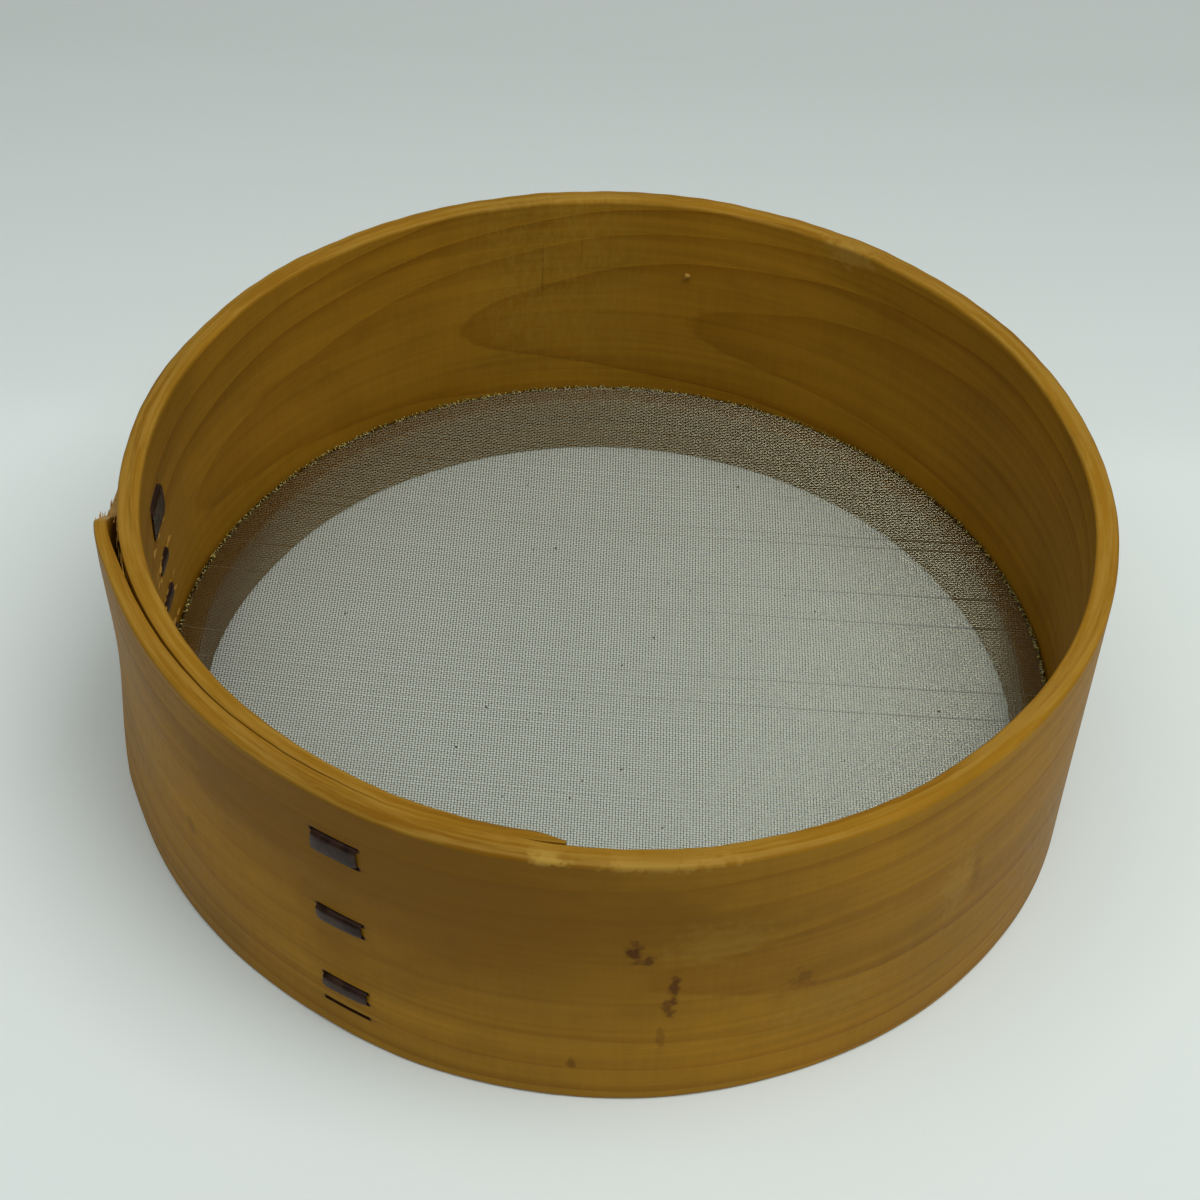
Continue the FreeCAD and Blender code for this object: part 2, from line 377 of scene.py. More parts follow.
def hoop_mesh(wood):
    windows = slit_windows()
    slit_sides = {side for window in windows for side in window[:2]}
    slit_edges = {edge for window in windows for edge in window[2:]}
    angles = with_lines(np.arange(OUTER_TIP, INNER_TIP + 0.01, ANGLE_STEP), slit_sides, 0.25)
    lines = with_lines(np.arange(1.0, HEIGHT - 0.9, LINE_STEP), slit_edges | {TOP_LINE}, 0.7)

    top = rim_height(angles)
    room = top[:, None] - SQUEEZED_ROOM - STEADY_LINE
    squeezed = STEADY_LINE + (lines - STEADY_LINE) * room / (HEIGHT - SQUEEZED_ROOM - STEADY_LINE)
    heights = np.where(lines[None, :] > STEADY_LINE, squeezed, np.ones((len(angles), 1)) * lines)
    outer_edge, inner_edge = hoop_edges(angles)

    def outer(angle, height):
        pressed_shut = (LAYER_CLEARANCE - SEAM_LEFT) * smooth((angle - SEAM_SHUT_FROM) / SEAM_SHUT_LENGTH)
        return outer_face(angle) + warp(angle, height) + pressed_shut

    def inner(angle, height):
        worn_tip = TIP_WEAR * smooth((angle - INNER_TIP + TIP_WEAR_LENGTH) / TIP_WEAR_LENGTH)
        return inner_face(angle) + warp(angle, height) + worn_tip

    bottom = 0 * angles
    turned, height, radius = section_loops(angles, heights, outer, inner, bottom, top, outer_edge, inner_edge)
    rows, columns = radius.shape
    count = len(lines)
    kept_face = np.ones((rows - 1, columns), dtype=bool)
    walls = []
    inside_of = columns - 2 * (ARC_STEPS + 1) - 1

    def at(section, line, inside):
        return section * columns + (inside_of - line if inside else line)

    for low_angle, high_angle, low, high in windows:
        first, last = np.searchsorted(angles, (low_angle - 1e-6, high_angle - 1e-6))
        under, over = np.searchsorted(lines, (low - 1e-6, high - 1e-6))
        kept_face[first:last, under:over] = False
        kept_face[first:last, inside_of - over:inside_of - under] = False
        for i in range(first, last):
            walls.append([at(i, under, 0), at(i + 1, under, 0), at(i + 1, under, 1), at(i, under, 1)])
            walls.append([at(i, over, 1), at(i + 1, over, 1), at(i + 1, over, 0), at(i, over, 0)])
        for k in range(under, over):
            walls.append([at(first, k, 0), at(first, k, 1), at(first, k + 1, 1), at(first, k + 1, 0)])
            walls.append([at(last, k + 1, 0), at(last, k + 1, 1), at(last, k, 1), at(last, k, 0)])
    faces = grid_faces(rows, columns, closed=True)[kept_face.ravel()].tolist()
    first_cap, last_cap = end_caps(rows, columns, count)
    depth = outer(turned, height) - radius
    top_here = top[:, None] + 0 * height
    edge = smooth(1 - (top_here - height) / EDGE_REACH)
    broken = edge * smooth((SPLIT_TOP + 0.5 - turned) / 1.0)
    inner_side = smooth(depth / thickness(turned) * 2 - 0.5)
    board = np.stack([np.radians(turned) * RADIUS, height, depth], axis=-1) * MM
    surface = np.stack([inner_side, edge, broken], axis=-1)
    points = in_plane(radius, turned, height)
    piece = new_piece("hoop_board", points.reshape(-1, 3), faces + walls + first_cap + last_cap, [wood],
                      [("board", board.reshape(-1, 3)), ("surface", surface.reshape(-1, 3)),
                       ("years", years(turned, height, depth).ravel())], crease=50)
    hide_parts("hoop")


def ring_mesh(wood):
    top = CLOTH_TOP - CLOTH
    lean = 1 / math.tan(math.radians(SCARF_SLANT)) / math.radians(RADIUS)
    gap = math.degrees(SCARF_GAP / RADIUS)
    angles = np.arange(SCARF_ANGLE + gap, SCARF_ANGLE + 360 + 0.01, RING_STEP)
    lines = np.linspace(RING_LINE_ROOM, top - RING_LINE_ROOM, 6)

    def outer(angle, height):
        return ring_face(angle) + 0 * height

    def inner(angle, height):
        return ring_face(angle) - RING_BOARD + 0.12 * np.sin(np.radians(angle * 9)) + 0 * height

    even = np.ones(len(angles))
    worn = 0.9 + 0.2 * np.sin(np.radians(angles * 11))
    outer_edge = 0.5 * even
    turned, height, radius = section_loops(angles, lines, outer, inner, 0 * even, top * even, outer_edge,
                                           worn, lean)
    rows, columns = radius.shape
    faces = grid_faces(rows, columns, closed=True).tolist()
    first_cap, last_cap = end_caps(rows, columns, len(lines))
    depth = outer(turned, height) - radius
    own_grain = 120       # a shift, so that the ring's grain isn't the hoop's
    board = np.stack([np.radians(turned) * RADIUS, height + own_grain, depth], axis=-1) * MM
    surface = np.stack([smooth(depth / RING_BOARD * 2 - 0.5), 0 * depth, 0 * depth], axis=-1)
    ring_years = np.hypot(height - 30 + 6 * np.sin(np.radians(turned)), 46 - depth) / 3.1
    points = in_plane(radius, turned, height)
    piece = new_piece("ring_board", points.reshape(-1, 3), faces + first_cap + last_cap, [wood],
                      [("board", board.reshape(-1, 3)), ("surface", surface.reshape(-1, 3)),
                       ("years", ring_years.ravel())], crease=50)
    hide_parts("clamping_ring")


# ---------------------------------------------------------------- bark lacing

def rounded(route, steps):
    """Points of a smooth line that a route's points pull on."""
    route = np.array(route, dtype=float)
    ends = [route[0]] + [(a + b) / 2 for a, b in zip(route[1:-1], route[2:-1])] + [route[-1]]
    points = []
    for start, pull, end in zip(ends, route[1:-1], ends[1:]):
        t = np.linspace(0, 1, steps, endpoint=False)[:, None]
        points.append((1 - t) ** 2 * start + 2 * t * (1 - t) * pull + t ** 2 * end)
    return np.concatenate(points + [route[-1:]])


def lacing_route(row, crossings, tails, outside):
    """The strip's middle line as (radius, height) points."""
    outer_skin = float(outer_face(np.array(row))) + LIFT + STRIP / 2
    inner_skin = float(inner_face(np.array(row + 360))) - LIFT - STRIP / 2
    sides = {True: outer_skin, False: inner_skin}
    route = []
    if tails[0]:
        depth = crossings[0] - (SEEN_TAIL if outside else 1) * tails[0]
        route += [(sides[outside], HEIGHT - depth), (sides[outside], HEIGHT - depth - 0.8)]
    for upper, lower in zip(crossings, crossings[1:] + (None,)):
        came_from = outside
        outside = not outside
        if lower is None and not tails[1]:
            sides[outside] -= SUNK_END
        route += [(sides[came_from], HEIGHT - upper), (sides[outside], HEIGHT - upper)]
        if lower is None:
            continue
        span = lower - upper
        for share in (0.3, 0.7) if span > 3 else (0.5,):
            crown = CROWN[outside] * min(1, span / CROWN_SPAN)
            route.append((sides[outside] + crown, HEIGHT - upper - share * span))
    if tails[1]:
        route.append((sides[outside], HEIGHT - crossings[-1] - tails[1]))
    return rounded(route, 5)


def lacing_mesh(name, node, row, crossings, tails, outside, bark, seed):
    """One bark strip, following its route through the slits, with a crowned and slightly ragged section."""
    chance = random.Random(seed)
    route = lacing_route(row, crossings, tails, outside)
    along = np.concatenate([[0], np.cumsum(np.hypot(*np.diff(route, axis=0).T))])
    ahead = np.gradient(route, axis=0)
    ahead /= np.hypot(*ahead.T)[:, None]
    normal = np.stack([-ahead[:, 1], ahead[:, 0]], axis=-1)
    across = np.linspace(-0.5, 0.5, 9)
    top = [(a, 0.5 - 0.38 * (abs(a) == 0.5)) for a in across]
    section = np.array(top + [(a, -b) for a, b in top[::-1]])
    drift = [chance.uniform(0, 6.28) for _ in range(4)]
    left = 1 + 0.02 * np.sin(along / 2.1 + drift[0]) + 0.02 * np.sin(along / 0.9 + drift[1])
    right = 1 + 0.02 * np.sin(along / 2.6 + drift[2]) + 0.02 * np.sin(along / 1.1 + drift[3])
    if outside:
        left = left * np.clip(0.1 + along / SLIVER, 0, 1)
        narrowed = 1 - NARROWED * smooth((along - NARROWED_FROM) / NARROWED_LENGTH)
        left, right = left * narrowed, right * narrowed
    share = np.where(section[None, :, 0] < 0, left[:, None], right[:, None])
    side = section[None, :, 0] * STRIP_WIDTH * share
    thick = section[None, :, 1] * STRIP
    bow = -side ** 2 / (2 * RADIUS) * 0.8
    radius = route[:, 0, None] + normal[:, 0, None] * thick + bow
    height = route[:, 1, None] + normal[:, 1, None] * thick
    outward, sideways, up = directions(row)
    points = radius[..., None] * outward + side[..., None] * sideways + height[..., None] * up
    rows, columns = side.shape
    faces = grid_faces(rows, columns, closed=True).tolist()
    faces += [list(range(columns)), [(rows - 1) * columns + i for i in range(columns)][::-1]]
    strip = np.stack([side, along[:, None] + 0 * side, thick + 0 * side], axis=-1) * MM
    attributes = [("board", strip.reshape(-1, 3))]
    piece = new_piece(name, points.reshape(-1, 3), faces, [bark], attributes, crease=60)
    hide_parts(node)


# ---------------------------------------------------------------- woven wire

TUBE = [(math.cos(t), math.sin(t)) for t in (math.pi / 2, math.pi * 7 / 6, math.pi * 11 / 6)]


def tube(path, side, up, radius):
    """Points of a three-sided wire along a path."""
    rings = [path + radius * (side * c + up * s) for c, s in TUBE]
    return np.stack(rings, axis=1).reshape(-1, 3)


def wire_group(name, wires, materials, node):
    """One piece of many wires, each given as (path, side, up, material number)."""
    points, faces, slots = [], [], []
    start = 0
    for path, side, up, material in wires:
        points.append(tube(path, side, up, WIRE / 2))
        quads = grid_faces(len(path), 3, closed=True) + start
        faces.append(quads)
        slots.append(np.full(len(quads), material))
        start += 3 * len(path)
    piece = new_piece(name, np.concatenate(points), np.concatenate(faces), materials,
                      face_materials=np.concatenate(slots))
    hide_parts(node)


def hem_line(angle):
    return ring_face(angle) + HEM_SIDE_GAP + CLOTH / 2


def with_turned_down_ends(path, up):
    """A wire's path with both of its ends bent down at the hoop's wall, and the up directions to match."""
    ends = []
    for point in (path[0], path[-1]):
        angle = math.degrees(math.atan2(point[1], point[0]))
        wall = in_plane(hem_line(np.array(angle)), angle, 0.0)
        outward = wall / np.linalg.norm(wall)
        tail = np.array([wall * 0.999 + [0, 0, CLOTH_TOP - 0.22], wall + [0, 0, CLOTH_TOP - 0.9],
                         wall + [0, 0, CLOTH_TOP - 2.6]])
        ends.append((tail, np.array([outward + up[0], outward, outward])))
    (head, head_up), (tail, tail_up) = ends
    return np.concatenate([head[::-1], path, tail]), np.concatenate([head_up[::-1], up, tail_up])


def cloth_mesh(wires, chance):
    """The woven cloth: wires each way, over and under by turns, in bands that are a piece each."""
    reach = int(RADIUS / WIRE_PITCH / WEFT_CLOSER)
    steps = np.arange(-reach, reach + 1)
    noise = np.random.default_rng(11)
    warp_x = steps * WIRE_PITCH + np.cumsum(noise.normal(0, 0.004, len(steps)))
    weft_y = steps * WIRE_PITCH * WEFT_CLOSER + noise.normal(0, 0.035, len(steps))
    x, y = np.meshgrid(warp_x, weft_y, indexing="ij")
    y = y + WEFT_BOW * (x - RADIUS) ** 2 / (4 * RADIUS) - WEFT_BOW * RADIUS / 4
    x = x + 0.10 * np.sin(y / 23.0) + 0.05 * np.sin(y / 7.0 + x / 31.0)
    angle = np.degrees(np.arctan2(y, x))
    inside = np.hypot(x, y) < hem_line(angle) - 0.25
    over = np.where((steps[:, None] + steps[None, :]) % 2 == 0, 1.0, -1.0)
    middle = CLOTH_TOP - CLOTH / 2
    for label, flip, sign, shades in (("warp", False, 1, WARP_SHADES), ("weft", True, -1, WEFT_SHADES)):
        group = []
        for index in range(len(steps)):
            keep = inside[:, index] if flip else inside[index]
            if keep.sum() < 4:
                continue
            px, py = (x[:, index], y[:, index]) if flip else (x[index], y[index])
            lift = (over[:, index] if flip else over[index]) * sign * WIRE * WAVE
            path = np.stack([px, py, middle + lift], axis=-1)[keep]
            side = np.array([0, 1.0, 0]) if flip else np.array([1.0, 0, 0])
            up = np.zeros_like(path) + [0, 0, 1.0]
            path, up = with_turned_down_ends(path, up)
            shade = chance.choices(range(len(wires)), shades)[0]
            group.append((path, side, up, shade))
        total = sum(len(wire[0]) for wire in group)
        bands, filled = [[]], 0
        for wire in group:
            if filled > total / CLOTH_BANDS * len(bands):
                bands.append([])
            bands[-1].append(wire)
            filled += len(wire[0])
        for number, band in enumerate(bands, 1):
            wire_group(f"{label}_wires_{number}", band, wires, "wire_cloth")


def hem_mesh(wires, chance):
    """The cloth's edge, turned down between hoop and ring: slanting uneven ends, and wires that run round."""
    group = []
    for index in range(HEM_ENDS):
        angle = 360 * (index + chance.uniform(-0.3, 0.3)) / HEM_ENDS
        slant = chance.uniform(-0.5, 0.5)
        length = chance.uniform(8.5, CLOTH_TOP - HEM_BOTTOM - 0.5)
        angles = angle + slant * np.linspace(0, 1, 4)
        heights = CLOTH_TOP - 0.7 - length * np.linspace(0, 1, 4)
        offset = chance.choice((-0.11, 0.11))
        path = in_plane(hem_line(angles) + offset, angles, heights)
        outward, sideways, _ = directions(angle)
        group.append((path, sideways, np.zeros_like(path) + outward, chance.randrange(len(wires))))
    for index in range(HEM_ROUNDS):
        angles = np.linspace(0, 360, 721)
        heights = CLOTH_TOP - 1.2 - index * WIRE_PITCH + 0.15 * np.sin(np.radians(angles) * 5 + index)
        path = in_plane(hem_line(angles), angles, heights)
        outward = path * [1, 1, 0] / np.linalg.norm(path * [1, 1, 0], axis=1)[:, None]
        group.append((path, np.array([0, 0, 1.0]), outward, chance.randrange(len(wires))))
    wire_group("turned_down_wires", group, wires, "wire_cloth_hem")


def fringe_mesh(wires, chance):
    """Stray loops and ends of wire that stand up where the cloth meets the wall."""
    group = []
    for _ in range(FRINGE_ENDS):
        angle = chance.uniform(0, 360)
        wall = float(hem_line(np.array(angle)))
        rise = chance.uniform(0.2, 1.0)
        reach = chance.uniform(0.3, 1.3)
        slant = chance.uniform(-0.5, 0.5)
        share = np.linspace(0, 1, 5)
        path = in_plane(wall + 0.15 - reach * share, angle + slant * share,
                        CLOTH_TOP - 0.4 + rise * np.sin(share * math.pi * chance.uniform(0.7, 1.0)))
        _, sideways, up = directions(angle)
        group.append((path, sideways, np.zeros_like(path) + up, chance.randrange(len(wires))))
    wire_group("stray_wire_ends", group, wires, "wire_cloth")


# ---------------------------------------------------------------- splinters, nub and dirt

def blob(place, axes, sizes, chance, rings=4, around=6):
    """A closed irregular grain or splinter: a stretched ball with pointed ends along its first axis."""
    points = [place - axes[0] * sizes[0]]
    for ring in range(1, rings):
        share = -1 + 2 * ring / rings
        wide = math.sqrt(1 - share * share)
        for step in range(around):
            t = 2 * math.pi * step / around
            rough = chance.uniform(0.75, 1.2)
            points.append(place + axes[0] * sizes[0] * share + rough * wide * (
                axes[1] * sizes[1] * math.cos(t) + axes[2] * sizes[2] * math.sin(t)))
    points.append(place + axes[0] * sizes[0])
    last = len(points) - 1
    faces = [[0, 1 + (s + 1) % around, 1 + s] for s in range(around)]
    for ring in range(rings - 2):
        base = 1 + ring * around
        for s in range(around):
            nxt = (s + 1) % around
            faces.append([base + s, base + nxt, base + around + nxt, base + around + s])
    base = 1 + (rings - 2) * around
    faces += [[base + s, base + (s + 1) % around, last] for s in range(around)]
    return points, faces


def blobs_piece(name, blobs, material, board=True):
    points, faces = [], []
    for spots, polygons in blobs:
        start = len(points)
        points += spots
        faces += [[start + i for i in polygon] for polygon in polygons]
    points = np.array(points)
    attributes = []
    if board:
        attributes = [("board", points * MM), ("surface", np.zeros_like(points) + [0, 0, 0.4]),
                      ("years", np.zeros(len(points)) + 0.3)]
    piece = new_piece(name, points, faces, [material], attributes)
    return piece


def splinters(wood, chance):
    """Torn wood: fibres in the gap at the split tip, on the split face and at the end row's inner slits."""
    pieces = []

    def add(angle, radius, height, length, width, lean=0.0):
        outward, sideways, up = directions(angle)
        ahead = sideways + outward * chance.uniform(-0.06, 0.06) + up * lean
        place = outward * radius + up * height
        axes = (ahead / np.linalg.norm(ahead), outward, up)
        pieces.append(blob(place, axes, (length, width, width * chance.uniform(0.5, 1.2)), chance))

    for _ in range(26):
        angle = chance.uniform(189, 203)
        radius = float(main_face(np.array(angle + 360))) + chance.uniform(0.2, 0.8)
        add(angle, radius, HEIGHT - chance.uniform(1.0, 5.0), chance.uniform(0.6, 2.2),
            chance.uniform(0.06, 0.18), chance.uniform(-0.3, 0.3))
    for _ in range(24):
        angle = chance.uniform(175, SPLIT_TOP)
        share = chance.uniform(0.1, 0.9)
        radius = float(inner_face(np.array(angle))) + share * float(thickness(np.array(angle)))
        add(angle, radius + float(warp(angle, HEIGHT - 3)), float(rim_height(np.array(angle))) - 0.2,
            chance.uniform(0.7, 1.7), chance.uniform(0.07, 0.2), chance.uniform(-0.35, -0.15))
    for depth in END_CROSSINGS[1:]:
        for _ in range(9):
            angle = END_ROW + chance.uniform(-4.5, 4.5)
            radius = float(inner_face(np.array(angle + 360))) - chance.uniform(0.0, 0.35)
            add(angle, radius, HEIGHT - depth + chance.uniform(-1.3, 1.3), chance.uniform(0.8, 2.6),
                chance.uniform(0.1, 0.32), chance.uniform(-0.4, 0.4))
    blobs_piece("torn_fibres", pieces, wood)


def nub(wood, chance):
    """A raised knot of wood on the inner wall."""
    angle, depth = 81.0, 20.2
    outward, sideways, up = directions(angle)
    wall = float(inner_face(np.array(angle + 360)))
    place = outward * (wall - 0.2) + up * (HEIGHT - depth)
    axes = (sideways, outward, up)
    knot = blob(place, axes, (0.85, 0.75, 0.7), chance, rings=6, around=10)
    beside = place - outward * 0.25 - up * 0.65 + sideways * 0.5
    chip = blob(beside, axes, (0.5, 0.3, 0.4), chance)
    blobs_piece("wall_nub", [knot, chip], wood)


def specks(dirt, chance):
    """Grains of old soil caught in the cloth and along its edge."""
    grains = []
    for number in range(GRAINS):
        angle = chance.uniform(0, 360)
        edge = float(hem_line(np.array(angle)))
        if number < EDGE_GRAINS:
            radius = edge - abs(chance.gauss(0, 1.2)) - 0.5
        else:
            radius = edge * math.sqrt(chance.random())
        outward, sideways, up = directions(angle)
        size = chance.uniform(0.12, 0.36)
        grains.append(blob(outward * radius + up * (CLOTH_TOP + 0.02), (sideways, outward, up),
                           (size, size * 0.8, size * 0.6), chance))
    blobs_piece("caught_grains", grains, dirt, board=False)


# ---------------------------------------------------------------- materials

class Recipe:
    """A node material, with a short call for each kind of node that the recipes use."""

    def __init__(self, name, roughness=0.5, **sockets):
        self.material = bpy.data.materials.new(name)
        self.material.use_nodes = True
        self.nodes = self.material.node_tree.nodes
        self.links = self.material.node_tree.links
        self.shader = self.nodes["Principled BSDF"]
        self.shader.inputs["Roughness"].default_value = roughness
        for label, value in sockets.items():
            self.shader.inputs[label.replace("_", " ")].default_value = value

    def node(self, kind, inputs=(), **settings):
        node = self.nodes.new("ShaderNode" + kind)
        for label, value in settings.items():
            setattr(node, label, value)
        for key, value in dict(inputs).items():
            if isinstance(value, bpy.types.NodeSocket):
                self.links.new(value, node.inputs[key])
            elif value is not None:
                node.inputs[key].default_value = value
        return node

    def attribute(self, name):
        return self.node("Attribute", attribute_name=name)

    def math(self, operation, first, second=None, third=None):
        return self.node("Math", {0: first, 1: second, 2: third}, operation=operation).outputs[0]

    def vector(self, operation, first, second):
        return self.node("VectorMath", {0: first, 1: second}, operation=operation).outputs[0]

    def noise(self, place, scale, detail=3.0, roughness=0.5):
        """Noise from 0 to 1, about 0.5 on average. scale is cycles per metre along each axis."""
        return self.node("TexNoise", {"Vector": self.vector("MULTIPLY", place, scale), "Scale": 1.0,
                                      "Detail": detail, "Roughness": roughness}).outputs["Fac"]

    def ramp(self, value, low, high, start=0.0, end=1.0, kind="SMOOTHSTEP"):
        return self.node("MapRange", {"Value": value, "From Min": low, "From Max": high, "To Min": start,
                                      "To Max": end}, interpolation_type=kind).outputs["Result"]

    def mix(self, share, first, second, blend="MIX"):
        node = self.node("Mix", data_type="RGBA", blend_type=blend, clamp_factor=True)
        for index, value in ((0, share), (6, first), (7, second)):
            if isinstance(value, bpy.types.NodeSocket):
                self.links.new(value, node.inputs[index])
            elif index == 0:
                node.inputs[0].default_value = value
            else:
                node.inputs[index].default_value = (*value, 1.0)
        return node.outputs[2]

    def use(self, **sockets):
        for label, value in sockets.items():
            self.links.new(value, self.shader.inputs[label.replace("_", " ")])
        return self.material

    def bumps(self, *layers):
        """Bump from (height, strength, distance) layers, finest last."""
        normal = None
        for height, strength, distance in layers:
            inputs = {"Height": height, "Strength": strength, "Distance": distance}
            node = self.node("Bump", inputs)
            if normal is not None:
                self.links.new(normal, node.inputs["Normal"])
            normal = node.outputs["Normal"]
        return normal


# Stains and scrapes, the pale one at the front of the rim also a painted highlight: angle along the board,
# depth below the rim, half length, half height, strength, and 1 for the inside or 0 for the outside
DARK_MARKS = ((274.2, 25.2, 1.2, 2.6, 0.85, 0), (275.6, 27.4, 0.9, 1.2, 0.7, 0),
              (278.5, 37.0, 0.7, 4.0, 0.75, 0), (277.9, 43.0, 1.0, 2.6, 0.6, 0),
              (277.4, 52.0, 0.6, 4.5, 0.3, 0), (292.6, 40.5, 2.2, 2.6, 0.35, 0),
              (268.0, 61.0, 0.7, 1.5, 0.5, 0), (315.0, 33.0, 1.0, 5.0, 0.25, 0),
              (218.0, 42.0, 1.6, 2.5, 0.25, 0), (461.5, 21.0, 0.10, 8.0, 0.5, 1),
              (456.0, 14.0, 0.10, 5.0, 0.4, 1))
PALE_MARKS = ((418.0, 1.5, 5.0, 3.6, 0.5, 1), (283.0, 24.0, 6.5, 6.0, 0.13, 0),
              (264.6, 0.0, 2.0, 1.2, 0.7, 0), (296.0, 52.0, 9.0, 5.0, 0.13, 0),
              # the mark at 277 degrees, on the front of the rim, is wear and a painted highlight
              (312.0, 33.0, 3.0, 10.0, 0.2, 0), (277.0, 0.0, 9.0, 1.5, 0.45, 0))
WRINKLED_ANGLE = 460.0

# Colours of the board, all aged under an old finish, but for the painted shade in its slits
EARLY_WOOD = (0.350, 0.168, 0.011)
LATE_WOOD = (0.240, 0.098, 0.005)
PATINA = (0.190, 0.083, 0.005)
# pale of worn wood, also used for a painted highlight along the rim
WORN_WOOD = (0.47, 0.29, 0.055)
RAW_WOOD = (0.48, 0.30, 0.11)
WRINKLED_WOOD = (0.46, 0.30, 0.045)
STAIN = (0.075, 0.022, 0.003)
RING_STAIN_AND_SHADE = 0.70         # how far the clamping ring's wood has darkened towards that, for dirt and for painted shade under the cloth
# painted shade for the insides of the front slits
SLIT_PAINTED_SHADE = (0.03, 0.010, 0.007)
SPLIT_SHADE = (0.04, 0.018, 0.010)

# Where the outside of the board is darker: over its upper front
DARKER_FRONT_MIDDLE = 255.0    # angle
DARKER_FRONT_LENGTH = 92.0     # to each side along the board
DARKER_FRONT_HEIGHT = 56.0
DARKER_FRONT_REACH = 38.0      # above and below that height
OUTSIDE_RINGS = 0.65      # how much the growth rings show on the outside
INSIDE_RINGS = 0.8        # and on the inside


def wood_material(name, marked):
    r = Recipe(name, Specular_IOR_Level=0.045)
    board = r.attribute("board").outputs["Vector"]
    surface = r.node("SeparateXYZ", {0: r.attribute("surface").outputs["Vector"]}).outputs
    inner_side, edge, broken = surface[0], surface[1], surface[2]

    # Growth rings: pale early wood that darkens to a sharp dark line
    wander = r.noise(board, (14, 30, 30), 2.0)
    year = r.math("ADD", r.attribute("years").outputs["Fac"], r.ramp(wander, 0.2, 0.8, -0.16, 0.16, "LINEAR"))
    through = r.math("FRACT", year)
    late = r.math("POWER", r.ramp(through, 0.42, 0.95, kind="LINEAR"), 1.7)
    late = r.math("MULTIPLY", late, r.ramp(through, 0.955, 1.0, 1.0, 0.0))
    each = r.node("TexWhiteNoise", {"W": r.math("FLOOR", year)}, noise_dimensions="1D").outputs["Value"]
    late = r.math("MULTIPLY", late, r.ramp(each, 0, 1, 0.55, 1.0, "LINEAR"))
    late = r.math("MULTIPLY", late, r.ramp(inner_side, 0, 1, OUTSIDE_RINGS, INSIDE_RINGS, "LINEAR"))
    color = r.mix(late, EARLY_WOOD, LATE_WOOD)

    # Fibres along the grain, cross-grain shimmer, and broad changes of tone
    fibres = r.noise(board, (30, 1500, 1500), 4.0, 0.6)
    streaks = r.noise(board, (6, 420, 420), 4.0, 0.6)
    cross = r.noise(board, (900, 55, 55), 3.0, 0.55)
    tone = r.noise(board, (16, 22, 22), 3.0, 0.55)
    value = r.math("ADD", r.ramp(fibres, 0.25, 0.75, 0.95, 1.05, "LINEAR"),
                   r.ramp(streaks, 0.25, 0.75, -0.17, 0.17, "LINEAR"))
    value = r.math("ADD", value, r.ramp(cross, 0.25, 0.75, -0.05, 0.05, "LINEAR"))
    value = r.math("ADD", value, r.ramp(tone, 0.25, 0.75, -0.20, 0.20, "LINEAR"))
    color = r.vector("MULTIPLY", color, r.node("CombineXYZ", {0: value, 1: value, 2: value}).outputs[0])
    blotch = r.noise(board, (26, 40, 40), 4.0, 0.65)
    color = r.mix(r.ramp(blotch, 0.52, 0.8, 0.0, 0.45), color, PATINA)
    place = r.node("SeparateXYZ", {0: board}).outputs
    if marked:
        # the outside is darker over its upper front, around the front lacing
        color = r.mix(darker_upper_front(r, place, inner_side, blotch), color, PATINA)
    color = r.mix(r.math("MULTIPLY", edge, 0.4), color, PATINA)

    # Worn edges are paler, which also paints the highlight that the rounded rim catches, and split wood is
    # raw
    worn = r.math("MULTIPLY", edge, r.ramp(r.noise(board, (35, 900, 900), 4.0, 0.6), 0.38, 0.66))
    # pale wear along the rim and a painted highlight in one
    color = r.mix(r.math("MULTIPLY", worn, 0.35), color, WORN_WOOD)
    color = r.mix(r.math("MULTIPLY", broken, r.ramp(fibres, 0.2, 0.7, 0.5, 0.9, "LINEAR")), color, RAW_WOOD)

    ragged = r.noise(board, (420, 420, 420), 4.0, 0.6)
    if marked:
        color = paint_marks(r, color, board, place, inner_side, ragged)
    else:
        # the clamping ring darkens all over: its dirt, and painted shade for where it lies under the cloth
        color = r.mix(RING_STAIN_AND_SHADE, color, STAIN)
    gloss = r.math("ADD", r.ramp(tone, 0.3, 0.7, 0.40, 0.52, "LINEAR"),
                   r.ramp(ragged, 0.3, 0.7, -0.05, 0.05, "LINEAR"))
    gloss = r.math("ADD", gloss, r.math("MULTIPLY", broken, 0.3))
    normal = r.bumps((late, 0.25, 0.00025), (cross, 0.12, 0.0002), (fibres, 0.22, 0.0001))
    return r.use(Base_Color=color, Roughness=gloss, Normal=normal)


def darker_upper_front(r, place, inner_side, blotch):
    """Where the outside is darker: around the front lacing and past it, most above the middle."""
    along = math.radians(DARKER_FRONT_MIDDLE) * RADIUS * MM
    u = r.math("DIVIDE", r.math("SUBTRACT", place[0], along), DARKER_FRONT_LENGTH * MM)
    v = r.math("DIVIDE", r.math("SUBTRACT", place[1], DARKER_FRONT_HEIGHT * MM), DARKER_FRONT_REACH * MM)
    away = r.math("SQRT", r.math("ADD", r.math("MULTIPLY", u, u), r.math("MULTIPLY", v, v)))
    spot = r.ramp(r.math("ADD", away, r.ramp(blotch, 0.2, 0.8, -0.5, 0.5, "LINEAR")), 1.2, 0.2, 0.0, 0.8)
    return r.math("MULTIPLY", spot, r.math("SUBTRACT", 1.0, inner_side))


